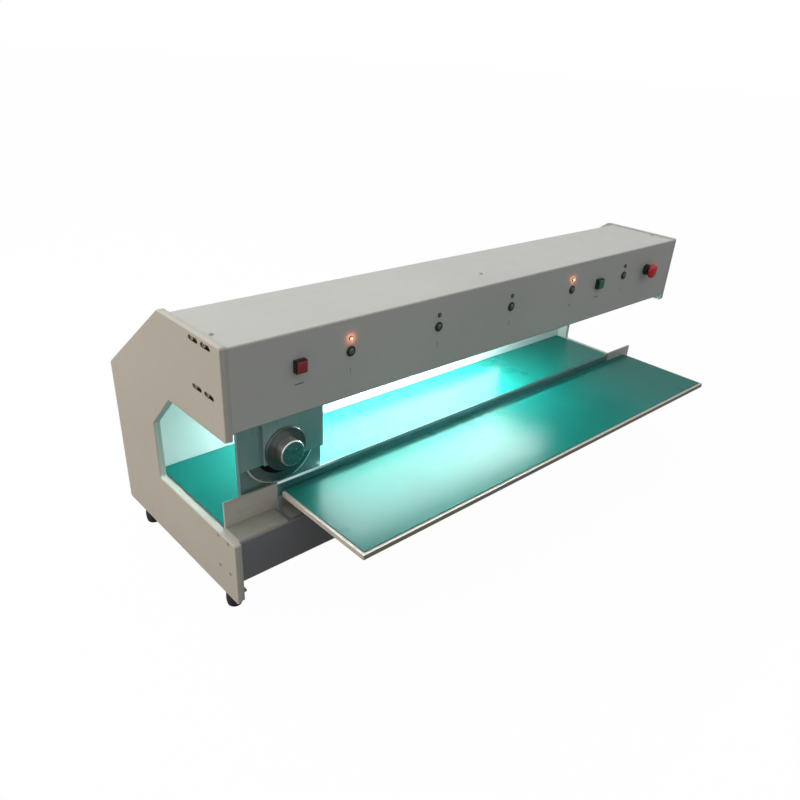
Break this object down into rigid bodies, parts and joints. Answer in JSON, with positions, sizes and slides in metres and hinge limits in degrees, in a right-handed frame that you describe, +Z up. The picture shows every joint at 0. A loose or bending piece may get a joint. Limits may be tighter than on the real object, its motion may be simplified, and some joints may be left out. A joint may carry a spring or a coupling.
{
  "type": "pcb depaneling machine",
  "caption": "Bench machine that separates grooved circuit boards with a round blade that travels on a carriage along a fixed linear blade.",
  "frame": {"origin": "centre of the overall outline on the bench plane under the feet", "axes": "+X along the blades from the parked end, +Y from the operator to the back, +Z up"},
  "size_m": [1.5, 0.715, 0.594],
  "materials": {
    "side_paint": "satin beige paint",
    "plate_paint": "satin grey paint",
    "cover_paint": "fine textured grey paint",
    "base_paint": "dark grey paint",
    "wall_paint": "cream paint",
    "mat_green": "glossy antistatic mat",
    "board_white": "pale coated board",
    "bracket_steel": "ground steel",
    "blade_steel": "ground tool steel",
    "carriage_plate": "satin steel",
    "blackened": "black oxide",
    "ring_dark": "dark anodised",
    "knob_silver": "turned and polished",
    "alloy": "extruded",
    "rail_steel": "ground",
    "bronze": "turned",
    "bearing_steel": "ground",
    "screw_black": "black oxide",
    "screw_zinc": "zinc plated",
    "foot_rubber": "matt black",
    "belt_rubber": "matt black",
    "black_plastic": "matt black",
    "sensor_plastic": "matt black",
    "board_green": "circuit board",
    "supply_metal": "bare sheet",
    "motor_black": "black",
    "bezel_metal": "nickel plated",
    "cap_metal": "nickel plated",
    "lens_lit": "lit lens",
    "lens_unlit": "clear tinted lens",
    "red_cap": "translucent red",
    "green_cap": "green",
    "estop_red": "signal red",
    "diffuser": "lit opal diffuser"
  },
  "bodies": {
    "frame": {"left_side_cover": "side_paint", "right_side_cover": "side_paint", "left_side_plate": "plate_paint", "right_side_plate": "plate_paint", "end_brackets": "bracket_steel", "feet": "foot_rubber", "frame_screws": "screw_zinc", "base_housing": "base_paint", "base_floor": "base_paint", "inner_rear_wall": "wall_paint", "work_mats": "mat_green", "upper_cover": "cover_paint", "rear_cover": "cover_paint", "beam_floor": "cover_paint", "lamp_housing": "supply_metal", "lamp_diffuser": "diffuser", "main_beam": "alloy", "linear_rail": "rail_steel", "linear_blade": "blade_steel", "blade_holder": "carriage_plate", "front_table": "board_white", "table_brackets": "base_paint", "power_inlet": "black_plastic", "power_supply": "supply_metal", "control_board": "board_green", "position_sensors": "sensor_plastic", "drive_belt": "belt_rubber", "drive_brackets": "bracket_steel", "drive_motor": "motor_black", "panel_bezels": "bezel_metal", "indicator_lenses_lit": "lens_lit", "indicator_lenses_unlit": "lens_unlit", "switch_housings": "black_plastic"},
    "carriage": {"carriage_top_plate": "carriage_plate", "carriage_front_plate": "carriage_plate", "bearing_block": "carriage_plate", "carriage_back_plate": "carriage_plate", "carriage_screws": "screw_black", "rail_blocks": "rail_steel", "dial_ring": "ring_dark", "spindle_bushes": "bronze", "belt_clamp": "alloy", "sensor_flag": "screw_zinc"},
    "blade_adjuster": {"adjusting_knob": "knob_silver", "eccentric_spindle": "bearing_steel"},
    "round_blade": {"upper_blade": "blade_steel", "blade_hub": "blackened", "blade_bearing": "bearing_steel", "blade_clamp_ring": "blackened"},
    "idler_pulley": {"idler_pulley": "alloy"},
    "drive_pulley": {"drive_pulley": "alloy"},
    "length_button_1": {"length_button_1": "cap_metal"},
    "length_button_2": {"length_button_2": "cap_metal"},
    "length_button_3": {"length_button_3": "cap_metal"},
    "length_button_4": {"length_button_4": "cap_metal"},
    "length_button_5": {"length_button_5": "cap_metal"},
    "power_switch": {"power_switch_cap": "red_cap"},
    "start_button": {"start_button_cap": "green_cap"},
    "estop_plunger": {"estop_plunger": "black_plastic"},
    "estop_head": {"estop_head": "estop_red"}
  },
  "joints": [
    {"name": "carriage_travel", "type": "slide", "parent": "frame", "child": "carriage", "axis": [1, 0, 0], "range_m": [0, 1.2]},
    {"name": "blade_height_adjustment", "type": "hinge", "parent": "carriage", "child": "blade_adjuster", "pos_m": [-0.6, -0.0845, 0.3345], "axis": [0, 1, 0], "range_deg": [0, 90]},
    {"name": "round_blade_spin", "type": "hinge", "parent": "blade_adjuster", "child": "round_blade", "pos_m": [-0.6, -0.0845, 0.3325], "axis": [0, 1, 0], "range_deg": [0, 810]},
    {"name": "drive_pulley_spin", "type": "hinge", "parent": "frame", "child": "drive_pulley", "pos_m": [0.69, -0.0115, 0.49], "axis": [0, 1, 0], "range_deg": [-3601, 0]},
    {"name": "idler_pulley_spin", "type": "hinge", "parent": "frame", "child": "idler_pulley", "pos_m": [-0.69, -0.0115, 0.49], "axis": [0, 1, 0], "range_deg": [-3601, 0]},
    {"name": "length_button_1_press", "type": "slide", "parent": "frame", "child": "length_button_1", "axis": [0, 1, 0], "range_m": [0, 0.0025], "stiffness_N_per_m": 400},
    {"name": "length_button_2_press", "type": "slide", "parent": "frame", "child": "length_button_2", "axis": [0, 1, 0], "range_m": [0, 0.0025], "stiffness_N_per_m": 400},
    {"name": "length_button_3_press", "type": "slide", "parent": "frame", "child": "length_button_3", "axis": [0, 1, 0], "range_m": [0, 0.0025], "stiffness_N_per_m": 400},
    {"name": "length_button_4_press", "type": "slide", "parent": "frame", "child": "length_button_4", "axis": [0, 1, 0], "range_m": [0, 0.0025], "stiffness_N_per_m": 400},
    {"name": "length_button_5_press", "type": "slide", "parent": "frame", "child": "length_button_5", "axis": [0, 1, 0], "range_m": [0, 0.0025], "stiffness_N_per_m": 400},
    {"name": "power_switch_press", "type": "slide", "parent": "frame", "child": "power_switch", "axis": [0, 1, 0], "range_m": [0, 0.003], "stiffness_N_per_m": 400},
    {"name": "start_button_press", "type": "slide", "parent": "frame", "child": "start_button", "axis": [0, 1, 0], "range_m": [0, 0.003], "stiffness_N_per_m": 400},
    {"name": "emergency_stop_press", "type": "slide", "parent": "frame", "child": "estop_plunger", "axis": [0, 1, 0], "range_m": [0, 0.005], "stiffness_N_per_m": 400},
    {"name": "emergency_stop_release_twist", "type": "hinge", "parent": "estop_plunger", "child": "estop_head", "pos_m": [0.605, -0.1675, 0.525], "axis": [0, 1, 0], "range_deg": [-35, 0], "stiffness_Nm_per_rad": 0.05}
  ],
  "couplings": [
    {"joint": "round_blade_spin", "follows": "carriage_travel", "rad_per_m": 11.765},
    {"joint": "drive_pulley_spin", "follows": "carriage_travel", "rad_per_m": -52.36},
    {"joint": "idler_pulley_spin", "follows": "carriage_travel", "rad_per_m": -52.36}
  ]
}
